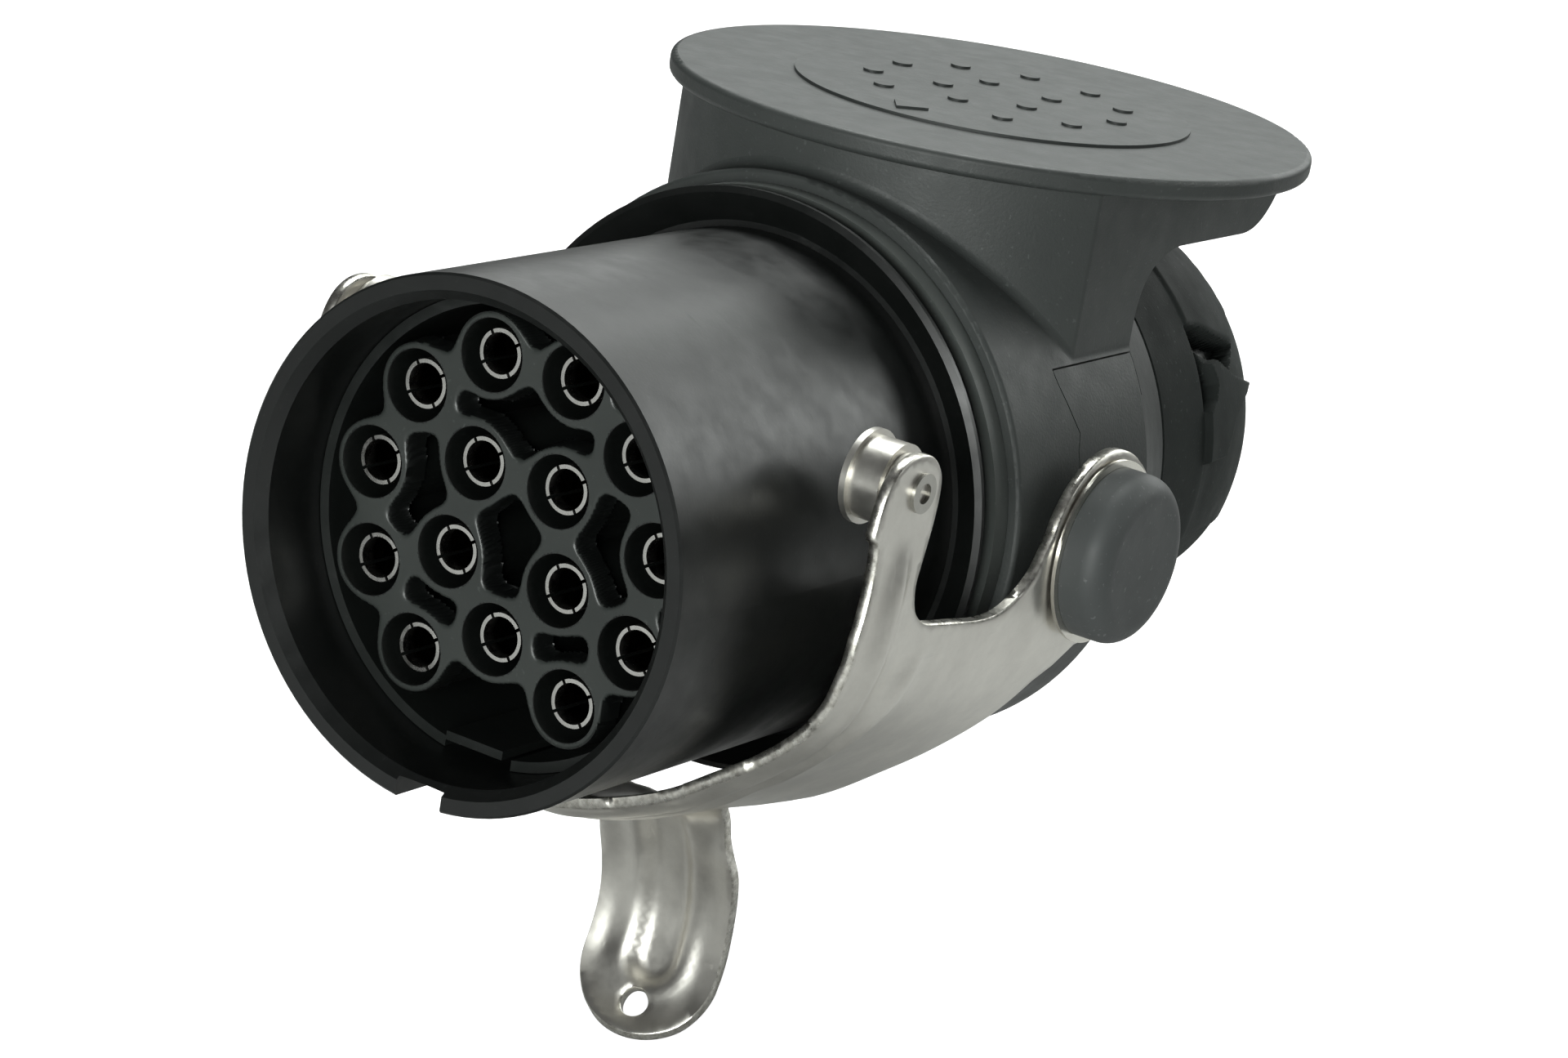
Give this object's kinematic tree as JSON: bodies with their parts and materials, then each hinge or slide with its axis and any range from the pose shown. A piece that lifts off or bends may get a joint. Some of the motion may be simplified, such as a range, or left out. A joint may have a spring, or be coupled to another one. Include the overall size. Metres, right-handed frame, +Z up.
{
  "type": "trailer wiring connector",
  "caption": "Round multi-pole trailer plug with socket contacts in a skirt, a swinging steel locking bail, a flat round top cover and a cable gland",
  "frame": {"origin": "centre of the front rim of the skirt, on the plug axis, in the mating plane", "axes": "-Y points into the mating socket and +Y towards the cable; +Z points up to the round top cover; +X is to the right seen from the front, along the bail's pivot axis"},
  "size_m": [0.0964, 0.154, 0.1221],
  "materials": {
    "shell_black": "glossy black moulded plastic",
    "housing_grey": "fine-grained matte charcoal plastic",
    "insert_black": "matte black plastic",
    "seal_rubber": "smooth black rubber",
    "cap_rubber": "satin black rubber",
    "stainless": "satin stainless sheet, scuffed",
    "steel": "turned steel",
    "washer_bright": "bright plated steel",
    "contact_plating": "bright silver plating"
  },
  "bodies": {
    "plug": {"contact_01": "contact_plating", "contact_02": "contact_plating", "contact_03": "contact_plating", "contact_04": "contact_plating", "contact_05": "contact_plating", "contact_06": "contact_plating", "contact_07": "contact_plating", "contact_08": "contact_plating", "contact_09": "contact_plating", "contact_10": "contact_plating", "contact_11": "contact_plating", "contact_12": "contact_plating", "contact_13": "contact_plating", "contact_14": "contact_plating", "contact_15": "contact_plating", "contact_carrier": "insert_black", "contact_retainer": "insert_black", "flange_seal": "seal_rubber", "gland_seal": "seal_rubber", "main_housing": "housing_grey", "pivot_cap_left": "cap_rubber", "pivot_cap_right": "cap_rubber", "pivot_stud_left": "steel", "pivot_stud_right": "steel", "pivot_washer_left": "washer_bright", "pivot_washer_right": "washer_bright", "plate_screw": "steel", "plug_shell": "shell_black", "rear_shell": "housing_grey", "seal_plate": "insert_black", "top_cover": "housing_grey", "wire_seal": "seal_rubber"},
    "bail": {"bail_lever": "stainless", "roller_rivet_left": "stainless", "roller_rivet_right": "stainless", "roller_washer_left": "stainless", "roller_washer_right": "stainless"},
    "roller_l": {"roller_left": "stainless"},
    "roller_r": {"roller_right": "stainless"},
    "thrust": {"gland_thrust_ring": "insert_black"},
    "nut": {"gland_nut": "housing_grey"}
  },
  "joints": [
    {"name": "bail_swing", "type": "hinge", "parent": "plug", "child": "bail", "pos_m": [0, 0.0769, 0], "axis": [1, 0, 0], "range_deg": [-2, 50]},
    {"name": "roller_turn_left", "type": "hinge", "parent": "bail", "child": "roller_l", "pos_m": [-0.036, 0.0312, 0.014], "axis": [1, 0, 0], "continuous": true},
    {"name": "roller_turn_right", "type": "hinge", "parent": "bail", "child": "roller_r", "pos_m": [0.036, 0.0312, 0.014], "axis": [1, 0, 0], "continuous": true},
    {"name": "thrust_slide", "type": "slide", "parent": "plug", "child": "thrust", "axis": [0, 1, 0], "range_m": [0, 0.003]},
    {"name": "nut_turn", "type": "hinge", "parent": "thrust", "child": "nut", "pos_m": [0, 0.115, 0], "axis": [0, 1, 0], "range_deg": [0, 360]}
  ],
  "couplings": [
    {"joint": "thrust_slide", "follows": "nut_turn", "m_per_rad": 0.0004774}
  ]
}
